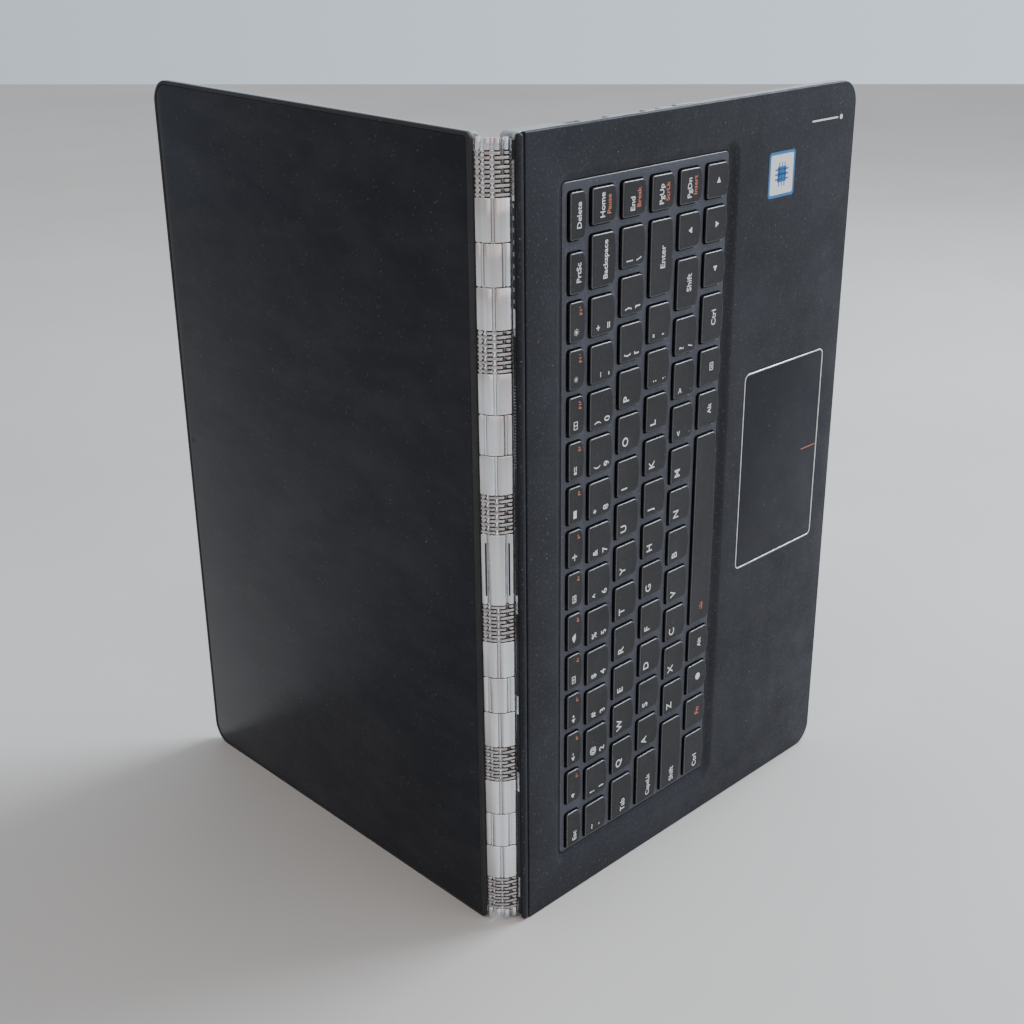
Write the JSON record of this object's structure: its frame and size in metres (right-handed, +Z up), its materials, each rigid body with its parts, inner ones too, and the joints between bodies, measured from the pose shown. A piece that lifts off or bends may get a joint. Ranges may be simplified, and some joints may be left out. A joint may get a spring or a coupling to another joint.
{
  "type": "convertible laptop computer",
  "caption": "Convertible laptop with a full-length linked metal hinge, opened past flat and standing on its side edge.",
  "frame": {"origin": "on the floor, below the centre of the bounding box, with the laptop on its left side edge", "axes": "+Z up along the hinge; the keyboard base runs back to +X, the display back to -X; -Y is the hinge side"},
  "size_m": [0.3058, 0.1684, 0.3245],
  "materials": {
    "rubberised_deck": "matte rubberised coating, fine leather-like texture",
    "silver_shell": "satin silver-grey",
    "hinge_steel": "satin with polished edges",
    "keycap": "satin black",
    "plate": "matte black",
    "bezel_metal": "bright diamond-cut edge",
    "touchpad_face": "smooth satin",
    "display_glass": "high gloss",
    "rim_rubber": "matte",
    "board": "satin",
    "copper": "satin",
    "port_shell": "satin"
  },
  "bodies": {
    "base": {"base_hinge_bracket": "hinge_steel", "keyboard_plate": "plate", "palmrest_deck": "rubberised_deck", "touchpad_bezel": "bezel_metal", "bottom_cover": "silver_shell", "usb_c_port": "port_shell", "usb_a_port_right": "port_shell", "audio_jack": "port_shell", "charge_port": "port_shell", "usb_a_port_left": "port_shell", "card_slot": "port_shell", "rear_foot": "rim_rubber", "front_foot": "rim_rubber", "fan_housing": "plate", "mainboard": "board", "ssd_module": "board", "wireless_card": "board", "heat_pipe": "copper", "battery_pack": "plate", "speaker_left": "plate", "speaker_right": "plate"},
    "link_base": {"hinge_link_base": "hinge_steel", "hinge_pin_1": "hinge_steel"},
    "link_middle": {"hinge_link_middle": "hinge_steel", "hinge_pin_2": "hinge_steel"},
    "link_lid": {"hinge_link_lid": "hinge_steel", "hinge_pin_3": "hinge_steel"},
    "lid": {"lid_cover": "silver_shell", "display_rim": "rim_rubber", "touch_glass": "display_glass", "lcd_panel": "plate", "webcam_module": "board", "lid_hinge_bracket": "hinge_steel", "hinge_pin_4": "hinge_steel"},
    "fan_rotor": {"fan_impeller": "plate"},
    "touchpad_plate": {"touchpad": "touchpad_face"},
    "power_switch": {"power_button": "silver_shell"},
    "rotation_lock": {"rotation_lock_button": "silver_shell"},
    "keys_function": {"keys_function": "keycap"},
    "keys_number": {"keys_number": "keycap"},
    "keys_q_row": {"keys_q_row": "keycap"},
    "keys_a_row": {"keys_a_row": "keycap"},
    "keys_z_row": {"keys_z_row": "keycap"},
    "keys_left_modifiers": {"keys_left_modifiers": "keycap"},
    "keys_right_modifiers": {"keys_right_modifiers": "keycap"},
    "keys_navigation": {"keys_navigation": "keycap"},
    "key_escape": {"key_escape": "keycap"},
    "key_delete": {"key_delete": "keycap"},
    "key_backspace": {"key_backspace": "keycap"},
    "key_enter": {"key_enter": "keycap"},
    "key_shift_left": {"key_shift_left": "keycap"},
    "key_shift_right": {"key_shift_right": "keycap"},
    "key_space": {"key_space": "keycap"},
    "key_arrow_up": {"key_arrow_up": "keycap"},
    "key_arrow_left": {"key_arrow_left": "keycap"},
    "key_arrow_down": {"key_arrow_down": "keycap"},
    "key_arrow_right": {"key_arrow_right": "keycap"}
  },
  "joints": [
    {"name": "hinge_bend_1", "type": "hinge", "parent": "base", "child": "link_base", "pos_m": [0.00391, -0.08114, 0.162], "axis": [0, 0, -1], "range_deg": [-69.25, 20.75]},
    {"name": "hinge_bend_2", "type": "hinge", "parent": "link_base", "child": "link_middle", "pos_m": [0.00072, -0.08257, 0.162], "axis": [0, 0, -1], "range_deg": [-69.25, 20.75]},
    {"name": "hinge_bend_3", "type": "hinge", "parent": "link_middle", "child": "link_lid", "pos_m": [-0.00278, -0.08257, 0.162], "axis": [0, 0, -1], "range_deg": [-69.25, 20.75]},
    {"name": "hinge_bend_4", "type": "hinge", "parent": "link_lid", "child": "lid", "pos_m": [-0.00597, -0.08114, 0.162], "axis": [0, 0, -1], "range_deg": [-69.25, 20.75]},
    {"name": "press_keys_function", "type": "slide", "parent": "base", "child": "keys_function", "axis": [-0.749, 0.6626, 0], "range_m": [0, 0.0012], "stiffness_N_per_m": 3000},
    {"name": "press_keys_number", "type": "slide", "parent": "base", "child": "keys_number", "axis": [-0.749, 0.6626, 0], "range_m": [0, 0.0012], "stiffness_N_per_m": 3000},
    {"name": "press_keys_q_row", "type": "slide", "parent": "base", "child": "keys_q_row", "axis": [-0.749, 0.6626, 0], "range_m": [0, 0.0012], "stiffness_N_per_m": 3000},
    {"name": "press_keys_a_row", "type": "slide", "parent": "base", "child": "keys_a_row", "axis": [-0.749, 0.6626, 0], "range_m": [0, 0.0012], "stiffness_N_per_m": 3000},
    {"name": "press_keys_z_row", "type": "slide", "parent": "base", "child": "keys_z_row", "axis": [-0.749, 0.6626, 0], "range_m": [0, 0.0012], "stiffness_N_per_m": 3000},
    {"name": "press_keys_left_modifiers", "type": "slide", "parent": "base", "child": "keys_left_modifiers", "axis": [-0.749, 0.6626, 0], "range_m": [0, 0.0012], "stiffness_N_per_m": 3000},
    {"name": "press_keys_right_modifiers", "type": "slide", "parent": "base", "child": "keys_right_modifiers", "axis": [-0.749, 0.6626, 0], "range_m": [0, 0.0012], "stiffness_N_per_m": 3000},
    {"name": "press_keys_navigation", "type": "slide", "parent": "base", "child": "keys_navigation", "axis": [-0.749, 0.6626, 0], "range_m": [0, 0.0012], "stiffness_N_per_m": 3000},
    {"name": "press_key_escape", "type": "slide", "parent": "base", "child": "key_escape", "axis": [-0.749, 0.6626, 0], "range_m": [0, 0.0012], "stiffness_N_per_m": 400},
    {"name": "press_key_delete", "type": "slide", "parent": "base", "child": "key_delete", "axis": [-0.749, 0.6626, 0], "range_m": [0, 0.0012], "stiffness_N_per_m": 400},
    {"name": "press_key_backspace", "type": "slide", "parent": "base", "child": "key_backspace", "axis": [-0.749, 0.6626, 0], "range_m": [0, 0.0012], "stiffness_N_per_m": 400},
    {"name": "press_key_enter", "type": "slide", "parent": "base", "child": "key_enter", "axis": [-0.749, 0.6626, 0], "range_m": [0, 0.0012], "stiffness_N_per_m": 400},
    {"name": "press_key_shift_left", "type": "slide", "parent": "base", "child": "key_shift_left", "axis": [-0.749, 0.6626, 0], "range_m": [0, 0.0012], "stiffness_N_per_m": 400},
    {"name": "press_key_shift_right", "type": "slide", "parent": "base", "child": "key_shift_right", "axis": [-0.749, 0.6626, 0], "range_m": [0, 0.0012], "stiffness_N_per_m": 400},
    {"name": "press_key_space", "type": "slide", "parent": "base", "child": "key_space", "axis": [-0.749, 0.6626, 0], "range_m": [0, 0.0012], "stiffness_N_per_m": 400},
    {"name": "press_key_arrow_up", "type": "slide", "parent": "base", "child": "key_arrow_up", "axis": [-0.749, 0.6626, 0], "range_m": [0, 0.0012], "stiffness_N_per_m": 400},
    {"name": "press_key_arrow_left", "type": "slide", "parent": "base", "child": "key_arrow_left", "axis": [-0.749, 0.6626, 0], "range_m": [0, 0.0012], "stiffness_N_per_m": 400},
    {"name": "press_key_arrow_down", "type": "slide", "parent": "base", "child": "key_arrow_down", "axis": [-0.749, 0.6626, 0], "range_m": [0, 0.0012], "stiffness_N_per_m": 400},
    {"name": "press_key_arrow_right", "type": "slide", "parent": "base", "child": "key_arrow_right", "axis": [-0.749, 0.6626, 0], "range_m": [0, 0.0012], "stiffness_N_per_m": 400},
    {"name": "touchpad_click", "type": "hinge", "parent": "base", "child": "touchpad_plate", "pos_m": [0.10397, 0.02501, 0.1627], "axis": [0, 0, 1], "range_deg": [0, 0.4], "stiffness_Nm_per_rad": 6},
    {"name": "press_power", "type": "slide", "parent": "base", "child": "power_switch", "axis": [0, 0, -1], "range_m": [0, 0.0005], "stiffness_N_per_m": 1200},
    {"name": "press_rotation_lock", "type": "slide", "parent": "base", "child": "rotation_lock", "axis": [0, 0, -1], "range_m": [0, 0.0003], "stiffness_N_per_m": 1200},
    {"name": "fan_spin", "type": "hinge", "parent": "base", "child": "fan_rotor", "pos_m": [0.02652, -0.05468, 0.236], "axis": [0.749, -0.6626, 0], "continuous": true}
  ]
}
